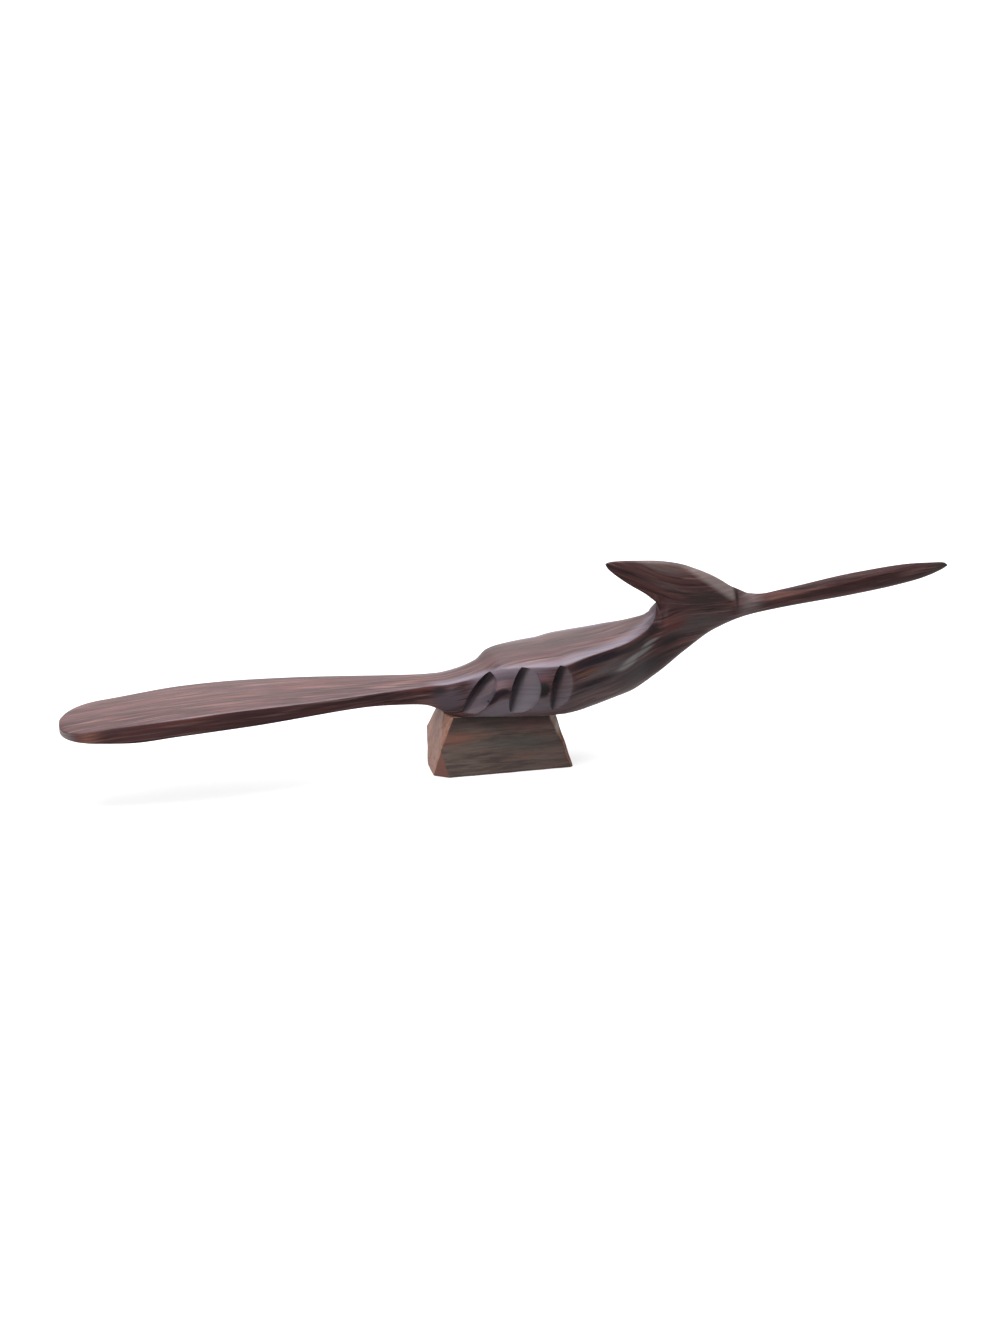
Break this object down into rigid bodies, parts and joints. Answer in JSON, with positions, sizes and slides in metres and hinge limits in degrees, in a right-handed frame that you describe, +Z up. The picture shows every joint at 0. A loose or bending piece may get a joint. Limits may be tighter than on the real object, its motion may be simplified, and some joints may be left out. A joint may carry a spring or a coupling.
{
  "type": "wooden roadrunner figurine",
  "caption": "Dark hardwood roadrunner carving, long flat tail, gouged wings, swept crest and long beak, doweled onto a hewn tapered pedestal block.",
  "frame": {"origin": "centre of the pedestal's underside", "axes": "+X along the bird towards its beak, +Z up, the bird symmetric about Y = 0"},
  "size_m": [0.3558, 0.0444, 0.077],
  "materials": {
    "polished_wood": "satin oiled dark hardwood with reddish streaks",
    "hewn_wood": "matt hewn dark hardwood",
    "dowel_wood": "plain birch dowel"
  },
  "bodies": {
    "root": {"bird_carving": "polished_wood", "pedestal": "hewn_wood", "rear_dowel": "dowel_wood", "front_dowel": "dowel_wood"}
  },
  "joints": []
}
